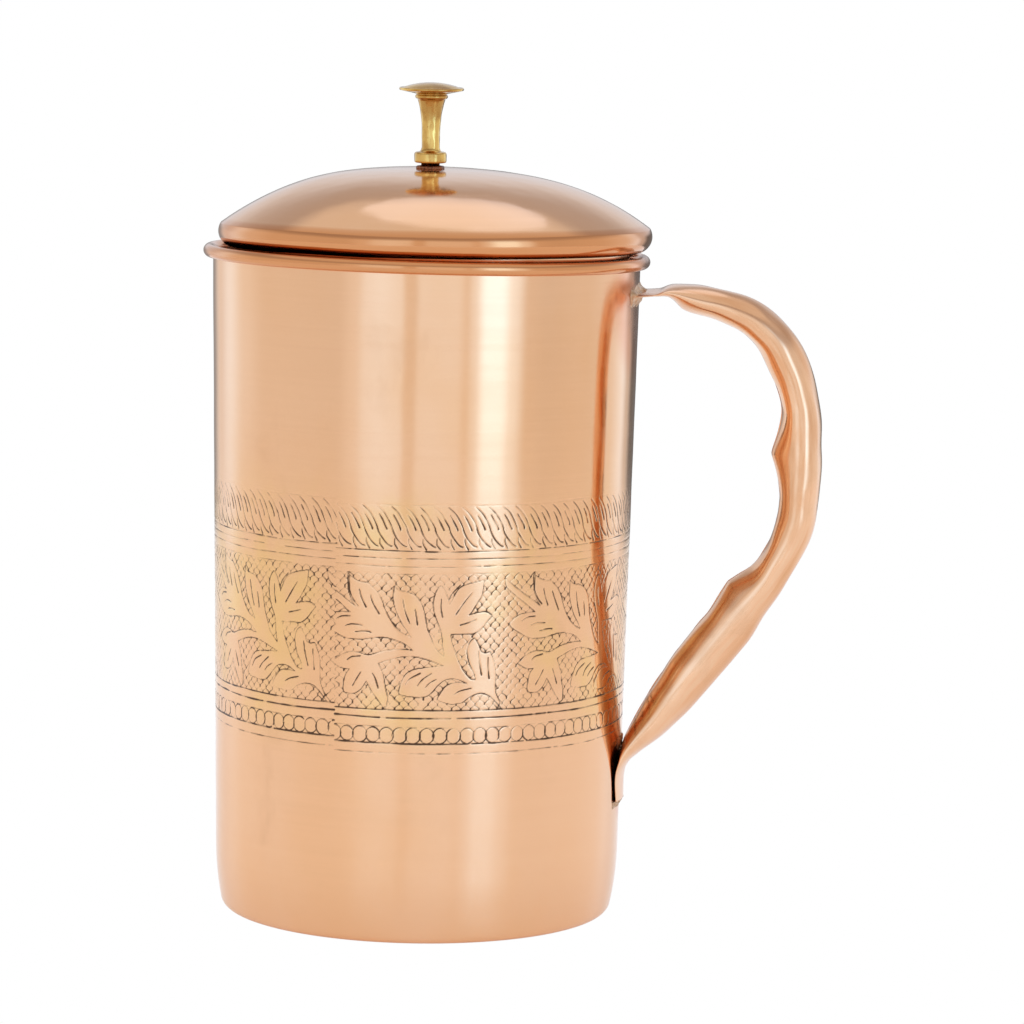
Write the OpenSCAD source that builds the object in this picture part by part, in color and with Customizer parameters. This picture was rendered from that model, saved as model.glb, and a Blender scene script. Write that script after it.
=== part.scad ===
// Copper water jug with a loose domed lid, in millimetres.
// The origin is the centre of the base, +Z is up and the handle is on the +X side.

/* [Vessel] */
// Outer diameter of the wall just below the lip
mouth_d = 110; // [104:1:116]
// Height of the rolled lip's wire above the base
lip_h = 170.3; // [160:0.1:180]
// Outward lean of the wall, in millimetres of radius per millimetre of height
wall_lean = 0.017; // [0.014:0.001:0.02]
// Thickness of the copper sheet of the vessel and the lid
sheet_t = 0.8; // [0.7:0.1:1]
// Height at which the wall starts to curve in towards the base
base_curve_h = 17; // [14:1:20]
// Radius of that long curve
base_curve_r = 90; // [70:5:110]
// Radius of the corner at the edge of the base
base_corner_r = 2.5; // [2:0.5:4]
// Diameter of the wire inside the rolled lip
wire_d = 1.7; // [1.6:0.1:2]

/* [Lid] */
// Outer diameter of the lid over its rolled edge
lid_d = 111.7; // [111:0.1:112]
// Rise of the dome above the level at which its curve would reach the rolled edge's outside
dome_rise = 16.6; // [12:0.1:20]
// Power of the dome's curve: 2 is a parabola, more is flatter on top
dome_power = 2.8; // [2.4:0.1:3.2]
// Outer radius of the rolled edge's section
edge_roll_r = 2.8; // [2.7:0.1:2.9]
// Height of the rolled edge's centre above the lip's wire
edge_above_lip = 4.7; // [4.7:0.1:5.5]
// How far the loose lid lies towards the handle
lid_shift = 2; // [0:0.1:2]
// Length of the collar that hangs in the mouth, below the rolled edge's centre
collar_drop = 12; // [8:1:20]
// Thickness of the collar's sheet
collar_t = 0.7; // [0.6:0.1:0.9]

/* [Knob] */
// How far the knob's own axis lies towards the handle
knob_shift = 0.4; // [0:0.1:2]
// Outer diameter of the knob's cap
cap_d = 16.6; // [14:0.1:18]
// Thickness of the cap at its centre
cap_t = 3; // [2.6:0.1:4]
// Height of the knob from its washer to the top of its cap
knob_h = 21.4; // [19:0.1:24]
// Outer diameter of the ring at the knob's foot
foot_d = 8.3; // [7.5:0.1:9]
// Diameter of the stem at its thinnest
stem_d = 4.7; // [4.4:0.1:5.4]
// Diameter of the screw that holds the knob
screw_d = 3; // [2.5:0.5:3]

/* [Handle] */
// Thickness of the sheet that the handle is folded from
handle_sheet_t = 0.5; // [0.4:0.05:0.5]
// Width of the open seam along the handle's finger side
seam_gap = 0.6; // [0.4:0.1:1]
// Half angle round the vessel that each patch of braze covers
braze_half_angle = 12.5; // [11:0.5:14]

/* [Hidden] */
$fn = 96;

COPPER = [0.86, 0.54, 0.38];
BRASS = [0.83, 0.66, 0.28];
BRAZE = [0.62, 0.5, 0.3];
STEEL = [0.6, 0.6, 0.6];

// Lip: the sheet is wrapped once round the wire
lip_r = wire_d / 2 + sheet_t;
lip_centre = [mouth_d / 2 - sheet_t + lip_r, lip_h];
lip_end_angle = -115;
wire_slack = 0.01;

// Lid: centre of the rolled edge's section, and where the dome's curve meets it
edge_centre = [lid_d / 2 - edge_roll_r, lip_h + edge_above_lip];
crease_angle = 60;
dome_base_z = edge_centre[1] + 1.1;
dome_curve_r = lid_d / 2 + 0.15;
dome_top_z = dome_base_z + dome_rise;
knob_land_r = 7;
crease_r = edge_centre[0] + edge_roll_r * cos(crease_angle);

// Collar: its outside touches the inside of the rolled edge
collar_r = edge_centre[0] - edge_roll_r;
collar_top_z = edge_centre[1] + 2;
collar_low_z = edge_centre[1] - collar_drop;
solder_drop = 3;

// Knob levels, up from the lid
washer_t = 0.7;
washer_d = 7.2;
spigot_d = 4.8;
spigot_h = 0.8;
foot_h = 2.8;
neck_ring_h = 1.2;
cap_edge_r = 0.4;
knob_z = dome_top_z + washer_t;
knob_top_z = knob_z + knob_h;
screw_depth = 5.5;
screw_clearance = 0.15;
screw_head_d = 5.6;
screw_head_h = 1.8;
inner_washer_d = 9;
inner_washer_t = 0.6;

// Handle spine, from the upper joint to the tip of the lower tab:
// [distance out from the wall, height, half depth, half width, share of the wall's curve followed]
HANDLE_KNOTS = [
    [0.1, 162.2, 0.55, 11, 1],
    [2.5, 162.2, 0.55, 10.8, 0.9],
    [5.5, 162.5, 0.65, 10.2, 0.6],
    [9, 163, 1.6, 9.4, 0.3],
    [15, 161.3, 3.3, 8.6, 0],
    [23, 159.2, 4.1, 8, 0],
    [31, 155.4, 4.5, 7.6, 0],
    [37.6, 148.1, 5.1, 7.5, 0],
    [42.6, 135.5, 4.9, 7.5, 0],
    [43.6, 122, 5.1, 7.5, 0],
    [43.4, 110, 5.05, 7.5, 0],
    [42, 100.5, 4.9, 7.5, 0],
    [37, 90.4, 4.8, 7.6, 0],
    [33, 84.6, 5.3, 7.7, 0],
    [26.9, 76.5, 6.4, 8, 0],
    [17.5, 64, 6.2, 8.6, 0],
    [9, 52, 4.8, 9.6, 0.2],
    [3.1, 44.5, 2.7, 10.4, 0.6],
    [1.3, 40.3, 1.1, 10.6, 0.9],
    [0.65, 36.5, 0.55, 10.2, 1],
    [0.65, 30.5, 0.55, 8.5, 1],
];
// Finger ridges on the inner side: [distance out from the wall, height, rise, reach]
FINGER_RIDGES = [
    [12.5, 162, 1, 7],
    [43.6, 121.8, 2.7, 11],
    [32.2, 83.6, 2.4, 9],
];
KNOT_STEPS = 3;
SECTION_POINTS = 18;
BACK_POWER = 0.8;
FINGER_POWER = 1.15;
RIDGE_POWER = 1.5;

// Outer radius of the vessel's wall at height z
function wall_r(z) = mouth_d / 2 + wall_lean * (z - lip_h);

// Points on an arc about c, from angle a to angle b
function arc(c, r, a, b, steps) =
    [for (i = [0:steps]) let (t = a + (b - a) * i / steps) c + r * [cos(t), sin(t)]];

function reversed(list) = [for (i = [len(list) - 1:-1:0]) list[i]];

// Vessel section from the base's centre up to the lip, moved inwards by inset
function vessel_side(inset) =
    let (
        lean = atan(wall_lean),
        long_centre = [wall_r(base_curve_h), base_curve_h]
            - base_curve_r * [cos(lean), -sin(lean)],
        gap_r = base_curve_r - base_corner_r,
        meet = asin((long_centre[1] - base_corner_r) / gap_r),
        corner_centre = long_centre + gap_r * [cos(meet), -sin(meet)]
    )
    concat(
        [[0, inset]],
        arc(corner_centre, base_corner_r - inset, -90, -meet, 6),
        arc(long_centre, base_curve_r - inset, -meet, -lean, 6)
    );

// Spun and rolled shell of the vessel
module jug_body() {
    outer = vessel_side(0);
    inner = vessel_side(sheet_t);
    roll_inside = arc(lip_centre, wire_d / 2, 180, lip_end_angle, 20);
    roll_outside = arc(lip_centre, lip_r, lip_end_angle, 180, 20);
    color(COPPER)
        rotate_extrude()
            polygon(concat(outer, roll_inside, roll_outside, reversed(inner)));
}

// Stiffening wire that the lip is rolled round
module rim_wire() {
    color(COPPER)
        rotate_extrude()
            translate(lip_centre)
                circle(r = wire_d / 2 - wire_slack, $fn = 32);
}

// Catmull-Rom curve through the rows of list k, between rows i and i + 1
function spline(k, i, t) =
    let (
        a = k[max(i - 1, 0)],
        b = k[i],
        c = k[i + 1],
        d = k[min(i + 2, len(k) - 1)]
    )
    0.5 * (2 * b + (c - a) * t + (2 * a - 5 * b + 4 * c - d) * t * t
        + (3 * b - a - 3 * c + d) * t * t * t);

// Rows of the spine with the distance from the wall turned into a distance from the axis
function on_axis(row) = concat([wall_r(row[1]) + row[0]], [for (i = [1:len(row) - 1]) row[i]]);

function handle_rows() =
    let (rows = [for (row = HANDLE_KNOTS) on_axis(row)], last = len(rows) - 1)
    concat(
        [for (i = [0:last - 1], s = [0:KNOT_STEPS - 1]) spline(rows, i, s / KNOT_STEPS)],
        [rows[last]]
    );

// Rise of the finger ridges at the spine's point p
function ridge_rise(p) =
    let (
        parts = [for (row = FINGER_RIDGES)
            let (ridge = on_axis(row), far = norm(p - [ridge[0], ridge[1]]))
            ridge[2] * pow(max(0, 1 - far / ridge[3]), RIDGE_POWER)]
    )
    parts * [for (part = parts) 1];

// Point of the folded section at angle a: 0 is the finger side and 180 the back
function section_point(depth, width, rise, a) =
    let (
        c = cos(a),
        power = c > 0 ? FINGER_POWER : BACK_POWER,
        out = -sign(c) * depth * pow(abs(c), power)
    )
    [out - rise * pow(max(0, c), 3), width * sin(a)];

// One ring of the sweep: round the outside of the sheet, then back along its inside
function handle_ring(row, along) =
    let (
        out = [-along[1], along[0]],
        rise = ridge_rise([row[0], row[1]]),
        wall = wall_r(row[1]),
        start = asin(seam_gap / 2 / row[3]),
        angles = [for (i = [0:SECTION_POINTS]) start + (360 - 2 * start) * i / SECTION_POINTS],
        outer = [for (a = angles) section_point(row[2], row[3], rise, a)],
        inner = [for (a = reversed(angles))
            section_point(row[2] - handle_sheet_t, row[3] - handle_sheet_t, rise, a)]
    )
    [for (p = concat(outer, inner)) [
        row[0] + out[0] * p[0] - row[4] * (wall - sqrt(wall * wall - p[1] * p[1])),
        p[1],
        row[1] + out[1] * p[0],
    ]];

// Hollow handle folded from one sheet, with its seam on the finger side and its ends beaten flat
module handle() {
    rows = handle_rows();
    last = len(rows) - 1;
    loop = 2 * (SECTION_POINTS + 1);
    rings = [for (i = [0:last])
        let (
            a = rows[max(i - 1, 0)],
            b = rows[min(i + 1, last)],
            step = [b[0] - a[0], b[1] - a[1]]
        )
        handle_ring(rows[i], step / norm(step))];
    sides = [for (i = [0:last - 1], j = [0:loop - 1])
        let (n = (j + 1) % loop, p = i * loop, q = p + loop)
        each [[p + j, p + n, q + n], [p + j, q + n, q + j]]];
    first_end = [for (j = [0:SECTION_POINTS - 1])
        let (m = loop - 1 - j)
        each [[j, m, m - 1], [j, m - 1, j + 1]]];
    far_end = [for (f = first_end) [for (v = reversed(f)) v + last * loop]];
    color(COPPER)
        polyhedron([for (ring = rings) each ring], concat(sides, first_end, far_end));
}

// Patch of braze on the wall, with its section given as [distance out from the wall, height]
module braze_patch(section) {
    color(BRAZE)
        rotate([0, 0, -braze_half_angle])
            rotate_extrude(angle = 2 * braze_half_angle)
                polygon([for (p = section) [wall_r(p[1]) + p[0], p[1]]]);
}

// Braze round the handle's upper end
module upper_braze() {
    braze_patch([[0, 157], [0.5, 158.5], [1.6, 161], [2.2, 162.2], [1.5, 163], [0.6, 164.5], [0, 167]]);
}

// Braze round the handle's lower end and under its tab
module lower_braze() {
    braze_patch([[0, 28.7], [0.7, 29.4], [0.9, 30.6], [0.15, 31], [0.15, 42], [1.2, 46], [0, 50]]);
}

// Height of the dome's outer face at radius r from the lid's axis: flat under the knob
function dome_z(r) =
    r <= knob_land_r ? dome_top_z
        : dome_base_z + dome_rise * (1 - pow(r / dome_curve_r, dome_power));

// Outward normal of the dome's outer face at radius r
function dome_normal(r) =
    let (slope = dome_rise * dome_power / dome_curve_r * pow(r / dome_curve_r, dome_power - 1))
    [slope, 1] / norm([slope, 1]);

// Spun dome with its edge rolled under, and a hole for the knob's screw
module lid_dome() {
    radii = [for (i = [0:16]) knob_land_r + (crease_r - knob_land_r) * i / 16];
    outer = [for (r = radii) [r, dome_z(r)]];
    inner = [for (r = radii) [r, dome_z(r)] - sheet_t * dome_normal(r)];
    roll_outside = arc(edge_centre, edge_roll_r, crease_angle - 6, -180, 20);
    roll_inside = arc(edge_centre, edge_roll_r - sheet_t, -180, crease_angle - 6, 20);
    color(COPPER)
        difference() {
            translate([lid_shift, 0, 0])
                rotate_extrude()
                    polygon(concat(
                        [[0, dome_top_z]],
                        outer,
                        roll_outside,
                        roll_inside,
                        reversed(inner),
                        [[0, dome_top_z - sheet_t]]
                    ));
            translate([knob_shift, 0, dome_top_z - 2 * sheet_t])
                cylinder(d = screw_d + 2 * screw_clearance, h = 3 * sheet_t);
        }
}

// Ring of sheet that keeps the lid in the mouth
module lid_collar() {
    color(COPPER)
        translate([lid_shift, 0, collar_low_z])
            difference() {
                cylinder(r = collar_r, h = collar_top_z - collar_low_z);
                translate([0, 0, -1])
                    cylinder(r = collar_r - collar_t, h = collar_top_z - collar_low_z + 2);
            }
}

// Fillet of solder in the angle between the collar and the rolled edge
module collar_solder() {
    start = edge_centre[1] - solder_drop;
    touch = arc(edge_centre, edge_roll_r, -145, -180, 8);
    color(BRAZE)
        translate([lid_shift, 0, 0])
            rotate_extrude()
                polygon(concat([[collar_r, start]], touch));
}

// Radius of the knob's stem at height z above its foot
function stem_r(z, stem_h) = stem_d / 2 + 1.6 * pow(z / stem_h, 4);

// Turned brass knob, drilled from below for its screw
module knob() {
    stem_z = knob_z + spigot_h + foot_h;
    neck_z = knob_top_z - cap_t - neck_ring_h;
    stem_h = neck_z - stem_z;
    rim = [cap_d / 2 - cap_edge_r, knob_top_z - 0.55 * cap_t];
    stem = [for (i = [1:12]) [stem_r(stem_h * i / 12, stem_h), stem_z + stem_h * i / 12]];
    crown_r = (pow(rim[0], 2) + pow(cap_t / 2, 2)) / cap_t;
    crown_angle = asin(rim[0] / crown_r);
    crown = arc([0, knob_top_z - crown_r], crown_r, 90 - crown_angle, 90, 8);
    color(BRASS)
        translate([knob_shift, 0, 0])
            difference() {
                rotate_extrude()
                    polygon(concat(
                        [[0, knob_z], [spigot_d / 2, knob_z], [spigot_d / 2, knob_z + spigot_h]],
                        arc([foot_d / 2 - 0.4, knob_z + spigot_h + 0.4], 0.4, -90, 0, 4),
                        arc([foot_d / 2 - 0.4, stem_z - 0.4], 0.4, 0, 90, 4),
                        [[stem_d / 2 + 0.5, stem_z], [stem_d / 2 + 0.1, stem_z + 0.5]],
                        [for (i = [1:11]) stem[i]],
                        arc([4, neck_z + 0.6], 0.6, -90, 80, 6),
                        [[rim[0] - 1.5, rim[1] - 0.9]],
                        arc(rim, cap_edge_r, -70, 60, 5),
                        [for (i = [1:8]) crown[i]]
                    ));
                translate([0, 0, knob_z - 1])
                    cylinder(d = screw_d, h = screw_depth + 1);
            }
}

// Washer between the knob and the lid
module knob_washer() {
    color(COPPER)
        translate([knob_shift, 0, dome_top_z])
            difference() {
                cylinder(d = washer_d, h = washer_t);
                translate([0, 0, -1])
                    cylinder(d = screw_d + 2 * screw_clearance, h = washer_t + 2);
            }
}

// Screw that comes up through the lid into the knob
module knob_screw() {
    head_z = dome_top_z - sheet_t - inner_washer_t - screw_head_h;
    color(STEEL)
        translate([knob_shift, 0, 0])
            difference() {
                union() {
                    translate([0, 0, head_z])
                        cylinder(d = screw_head_d, h = screw_head_h);
                    translate([0, 0, head_z])
                        cylinder(d = screw_d, h = knob_z + screw_depth - 0.5 - head_z);
                }
                translate([-screw_head_d, -0.4, head_z - 1])
                    cube([2 * screw_head_d, 0.8, 1.8]);
            }
}

// Washer under the screw's head, inside the lid
module screw_washer() {
    color(STEEL)
        translate([knob_shift, 0, dome_top_z - sheet_t - inner_washer_t])
            difference() {
                cylinder(d = inner_washer_d, h = inner_washer_t);
                translate([0, 0, -1])
                    cylinder(d = screw_d + 2 * screw_clearance, h = inner_washer_t + 2);
            }
}

jug_body();
rim_wire();
handle();
upper_braze();
lower_braze();
lid_dome();
lid_collar();
collar_solder();
knob();
knob_washer();
knob_screw();
screw_washer();
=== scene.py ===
"""A copper water jug with a band of engraving, a folded sheet handle and a loose domed lid.

Lengths are in millimetres until a mesh is made, and the CAD part's own frame is used throughout:
the base's centre is the origin, +Z is up and the handle is on the +X side.
"""
import math

import bpy
import numpy as np
from mathutils import Matrix, Vector


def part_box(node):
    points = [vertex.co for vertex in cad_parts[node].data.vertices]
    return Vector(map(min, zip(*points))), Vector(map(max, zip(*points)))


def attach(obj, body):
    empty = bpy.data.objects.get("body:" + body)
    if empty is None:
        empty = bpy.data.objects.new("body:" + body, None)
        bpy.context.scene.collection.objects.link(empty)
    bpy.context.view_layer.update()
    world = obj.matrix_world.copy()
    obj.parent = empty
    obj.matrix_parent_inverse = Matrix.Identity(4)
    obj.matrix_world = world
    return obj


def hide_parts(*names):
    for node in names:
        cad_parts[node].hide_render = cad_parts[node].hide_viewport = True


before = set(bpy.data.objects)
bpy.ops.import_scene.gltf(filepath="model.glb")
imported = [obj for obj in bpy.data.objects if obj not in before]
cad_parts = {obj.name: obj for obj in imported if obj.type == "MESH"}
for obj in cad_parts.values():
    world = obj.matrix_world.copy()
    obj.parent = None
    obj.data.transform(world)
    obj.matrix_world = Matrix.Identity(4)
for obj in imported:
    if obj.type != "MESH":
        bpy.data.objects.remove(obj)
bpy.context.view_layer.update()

MM = 0.001
rng = np.random.default_rng(11)


def box_mm(node):
    low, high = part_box(node)
    return np.array(low) / MM, np.array(high) / MM


# --- Sizes, worked out from the frame ---

SHEET = 0.8                     # copper sheet of the vessel and the lid
WALL_LEAN = 0.017               # growth of the wall's radius with height
LIP_R = 1.65                    # outer radius of the rolled lip's section
WIRE_R = LIP_R - SHEET
WIRE_PLAY = 0.02                # gap between the wire and the lip that is rolled round it
BASE_CORNER_R = 2.5
BASE_CURVE_R = 90.0
BASE_CURVE_H = 17.0
LIP_END = -115.0                # where the roll ends, in degrees round its section

body_high = box_mm("jug_body")[1]
LIP_Z = body_high[2] - LIP_R
LIP_CENTRE = body_high[0] - LIP_R
MOUTH_R = LIP_CENTRE - LIP_R + SHEET

lid_low, lid_high = box_mm("lid_dome")
EDGE_R = 2.8                    # outer radius of the lid's rolled edge
LID_X = (lid_low[0] + lid_high[0]) / 2
LID_OUT = (lid_high[0] - lid_low[0]) / 2
EDGE_CENTRE = LID_OUT - EDGE_R
EDGE_Z = lid_low[2] + EDGE_R
DOME_TOP = lid_high[2]
DOME_POWER = 2.8
DOME_CURVE_R = LID_OUT + 0.15
LAND_R = 7.0
EDGE_CREASE, EDGE_HIGH, EDGE_LOW = 52.0, 28.0, -60.0    # how the lid's edge faces, in degrees
FOOT_R, BAND_BOW_R, CREASE_R = 1.1, 4.05, 1.0           # radii of the lid's edge, foot upwards
LIP_TILT = 0.4                  # how much the lip drops at the handle and rises opposite it
LIP_RISE = 1.6                  # how much the lip rises in front and drops behind
LID_RISE = 1.7                  # the same of the lid, which follows the lip
LID_LIFT = 0.12                 # how far the uneven lid stands off its seat
LID_LEAN = 0.006                # its slope towards the handle

knob_low, knob_high = box_mm("knob")
KNOB_X = (knob_low[0] + knob_high[0]) / 2
KNOB_Z = knob_low[2]
KNOB_TOP = knob_high[2]
CAP_R = (knob_high[0] - knob_low[0]) / 2


def wall_r(z):
    return MOUTH_R + WALL_LEAN * (z - LIP_Z)


def full_turn(count):
    """Angles in count equal steps round a whole turn."""
    return np.arange(count) * math.tau / count


def arc(centre, radius, start, end, steps):
    """Points on an arc from angle start to angle end, in degrees, the last one included."""
    t = np.radians(np.linspace(start, end, steps + 1))
    return np.column_stack([centre[0] + radius * np.cos(t), centre[1] + radius * np.sin(t)])


def smoothstep(low, high, x):
    t = np.clip((np.asarray(x, float) - low) / (high - low), 0, 1)
    return t * t * (3 - 2 * t)


def soft_noise(count, spacing, length, seed):
    """Smooth random numbers from -1 to 1 at count places over a closed length."""
    knots = max(4, int(round(length / spacing)))
    local = np.random.default_rng(seed)
    values = local.uniform(-1, 1, knots)
    t = np.arange(count) * knots / count
    i = t.astype(int)
    f = t - i
    f = f * f * (3 - 2 * f)
    return values[i % knots] * (1 - f) + values[(i + 1) % knots] * f


def waves(x, y, seed, count, low, high):
    """A field of count sine waves, about -1 to 1, with wavelengths from low to high."""
    local = np.random.default_rng(seed)
    total = 0
    for _ in range(count):
        angle = local.uniform(0, math.tau)
        length = math.exp(local.uniform(math.log(low), math.log(high)))
        phase = local.uniform(0, math.tau)
        across = x * math.cos(angle) + y * math.sin(angle)
        total = total + np.sin(math.tau * across / length + phase)
    return total / math.sqrt(count)


def catmull(rows, steps):
    """Catmull-Rom curve through the rows, with steps points for each gap."""
    rows = np.asarray(rows, float)
    padded = np.vstack([rows[:1], rows, rows[-1:]])
    t = (np.arange(steps) / steps)[:, None]
    parts = []
    for a, b, c, d in zip(padded, padded[1:], padded[2:], padded[3:]):
        parts.append(0.5 * (2 * b + (c - a) * t + (2 * a - 5 * b + 4 * c - d) * t**2
                            + (3 * b - a - 3 * c + d) * t**3))
    return np.vstack(parts + [rows[-1:]])


# --- Meshes ---

def build(name, points, faces, material, attributes=()):
    """Smooth-shaded mesh object from points in millimetres and lists or arrays of faces."""
    mesh = bpy.data.meshes.new(name)
    points = np.asarray(points, float) * MM
    groups = [np.asarray(f, np.int32) for f in faces if len(f)]
    loops = np.concatenate([g.ravel() for g in groups])
    sizes = np.concatenate([np.full(len(g), g.shape[1], np.int32) for g in groups])
    starts = np.concatenate([[0], np.cumsum(sizes)[:-1]]).astype(np.int32)
    mesh.vertices.add(len(points))
    mesh.vertices.foreach_set("co", points.ravel().astype(np.float32))
    mesh.loops.add(len(loops))
    mesh.loops.foreach_set("vertex_index", loops)
    mesh.polygons.add(len(sizes))
    mesh.polygons.foreach_set("loop_start", starts)
    mesh.polygons.foreach_set("use_smooth", np.ones(len(sizes), bool))
    mesh.update(calc_edges=True)
    for label, kind, values in attributes:
        layer = mesh.attributes.new(label, kind, "POINT")
        field = "vector" if kind == "FLOAT_VECTOR" else "value"
        layer.data.foreach_set(field, np.asarray(values, np.float32).ravel())
    mesh.materials.append(material)
    mesh.validate()
    piece = bpy.data.objects.new(name, mesh)
    bpy.context.scene.collection.objects.link(piece)
    return piece


def ring_faces(start_a, start_b, count):
    """Quads between two closed rings of count points."""
    i = np.arange(count)
    n = (i + 1) % count
    return np.column_stack([start_a + i, start_a + n, start_b + n, start_b + i])


def settle(piece, body, node):
    """Ride a piece on its body, in place of a CAD node, which is hidden."""
    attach(piece, body)
    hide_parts(node)


def swept_ring(name, loops, material, attributes=()):
    """Closed ring whose section is a loop of points; loops holds the ring of each of them."""
    count, around = len(loops), len(loops[0])
    sides = [ring_faces(i * around, (i + 1) % count * around, around) for i in range(count)]
    return build(name, np.vstack(loops), [np.vstack(sides)], material, attributes)


def sheet_strip(name, outer, inner, material, attributes=()):
    """Closed strip of sheet between two grids of points, rows by points across."""
    rings = np.concatenate([outer, inner[:, ::-1]], axis=1)
    rows, count = rings.shape[:2]
    sides = np.vstack([ring_faces(i * count, (i + 1) * count, count) for i in range(rows - 1)])
    j = np.arange(count // 2 - 1)
    end = np.column_stack([j, count - 1 - j, count - 2 - j, j + 1])
    caps = np.vstack([end, end[:, ::-1] + (rows - 1) * count])
    return build(name, rings.reshape(-1, 3), [sides, caps], material, attributes)


def step_faces(coarse, fine, count, ratio, coarse_first):
    """Faces between a closed ring of count points and one of ratio times as many."""
    i = np.arange(count)
    n = (i + 1) % count
    run = [fine + (i * ratio + k) % (count * ratio) for k in range(ratio, -1, -1)]
    face = np.column_stack([coarse + i, coarse + n] + run)
    return face if coarse_first else face[:, ::-1]


def lathe(name, rings, material, centre=(0, 0), attributes=()):
    """Closed turned shell. rings is a list of (radius, z) rings, each an array over the angle,
    or a bare (0, z) pole. Neighbouring rings have the same number of points, or one a multiple."""
    points, faces, starts, counts = [], {}, [], []
    total = 0
    for radius, z in rings:
        radius, z = np.atleast_1d(radius), np.atleast_1d(z)
        count = len(radius)
        angle = full_turn(count)
        points.append(np.column_stack([centre[0] + radius * np.cos(angle),
                                       centre[1] + radius * np.sin(angle),
                                       z * np.ones(count)]))
        starts.append(total)
        counts.append(count)
        total += count
    for a, b, na, nb in zip(starts, starts[1:], counts, counts[1:]):
        if na == nb:
            new = ring_faces(a, b, na)
        elif na == 1:
            i = np.arange(nb)
            new = np.column_stack([np.full(nb, a), b + (i + 1) % nb, b + i])
        elif nb == 1:
            i = np.arange(na)
            new = np.column_stack([a + i, a + (i + 1) % na, np.full(na, b)])
        elif nb > na:
            new = step_faces(a, b, na, nb // na, True)
        else:
            new = step_faces(b, a, nb, na // nb, False)
        faces.setdefault(new.shape[1], []).append(new)
    return build(name, np.vstack(points), [np.vstack(f) for f in faces.values()],
                 material, attributes)


# --- Shader helpers ---

class Nodes:
    """A node tree that is added to by short calls."""

    def __init__(self, tree):
        self.tree = tree

    def node(self, kind, inputs=(), output=0, **settings):
        made = self.tree.nodes.new(kind)
        for key, value in settings.items():
            setattr(made, key, value)
        for key, value in dict(inputs).items():
            self.put(made.inputs[key], value)
        return made.outputs[output]

    def put(self, socket, value):
        if isinstance(value, bpy.types.NodeSocket):
            self.tree.links.new(value, socket)
        else:
            socket.default_value = value

    def math(self, operation, a, b=0.0, clamp=False):
        return self.node("ShaderNodeMath", {0: a, 1: b}, operation=operation, use_clamp=clamp)

    def vector(self, operation, a, b=(0, 0, 0), output=0):
        return self.node("ShaderNodeVectorMath", {0: a, 1: b}, output, operation=operation)

    def scaled(self, vector, scale):
        return self.vector("MULTIPLY", vector, scale)

    def axis(self, vector, name):
        return self.node("ShaderNodeSeparateXYZ", {0: vector}, name)

    def span(self, value, low, high, out_low=0.0, out_high=1.0):
        return self.node("ShaderNodeMapRange", {
            "Value": value, "From Min": low, "From Max": high,
            "To Min": out_low, "To Max": out_high}, interpolation_type="SMOOTHSTEP")

    def blend(self, factor, a, b):
        return self.node("ShaderNodeMix", {"Factor": factor, 6: a, 7: b}, 2, data_type="RGBA")


class Shader(Nodes):
    """A material on a Principled BSDF."""

    def __init__(self, name):
        self.material = bpy.data.materials.new(name)
        self.material.use_nodes = True
        super().__init__(self.material.node_tree)
        self.surface = self.tree.nodes["Principled BSDF"]

    def place(self):
        return self.node("ShaderNodeTexCoord", output="Object")

    def noise(self, vector, detail=2.0, roughness=0.5, distortion=0.0):
        return self.node("ShaderNodeTexNoise", {
            "Vector": vector, "Scale": 1.0, "Detail": detail,
            "Roughness": roughness, "Distortion": distortion})

    def attribute(self, name, output="Fac"):
        return self.node("ShaderNodeAttribute", output=output, attribute_name=name)

    def bump(self, height, distance, strength=1.0, normal=None):
        inputs = {"Height": height, "Distance": distance, "Strength": strength}
        if normal is not None:
            inputs["Normal"] = normal
        return self.node("ShaderNodeBump", inputs)

    def set(self, **sockets):
        for key, value in sockets.items():
            self.put(self.surface.inputs[key.replace("_", " ")], value)


def rgb(red, green, blue):
    return (red, green, blue, 1.0)


COPPER_WARM = rgb(0.87, 0.50, 0.275)
COPPER_PINK = rgb(0.885, 0.53, 0.315)
# Painted shade: the next colour tints the rolled lip and the lid's edge, round the gap between
# them.
COPPER_GAP_SHADE = rgb(0.70, 0.30, 0.12)
COPPER_GOLD = rgb(0.86, 0.545, 0.22)
COPPER_RED = rgb(0.80, 0.34, 0.16)
COPPER_DULL = rgb(0.62, 0.33, 0.17)
HANDLE_PALE = rgb(0.93, 0.57, 0.35)
HANDLE_DARK = rgb(0.79, 0.41, 0.21)
GROOVE = rgb(0.11, 0.055, 0.026)
STAIN = rgb(0.36, 0.17, 0.08)
BRASS = rgb(0.79, 0.50, 0.15)
BRASS_DULL = rgb(0.42, 0.20, 0.05)


def turned_coordinates(s, centre_x, slope):
    """Coordinates that change quickly across the lathe's marks and slowly along them."""
    place = s.vector("SUBTRACT", s.place(), (centre_x * MM, 0, 0))
    flat = s.scaled(place, (1, 1, 0))
    radius = s.vector("LENGTH", flat, output="Value")
    across = s.math("ADD", radius, s.math("MULTIPLY", s.axis(place, "Z"), slope))
    return s.node("ShaderNodeCombineXYZ", {
        "X": s.axis(place, "X"), "Y": s.axis(place, "Y"), "Z": across})


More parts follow.
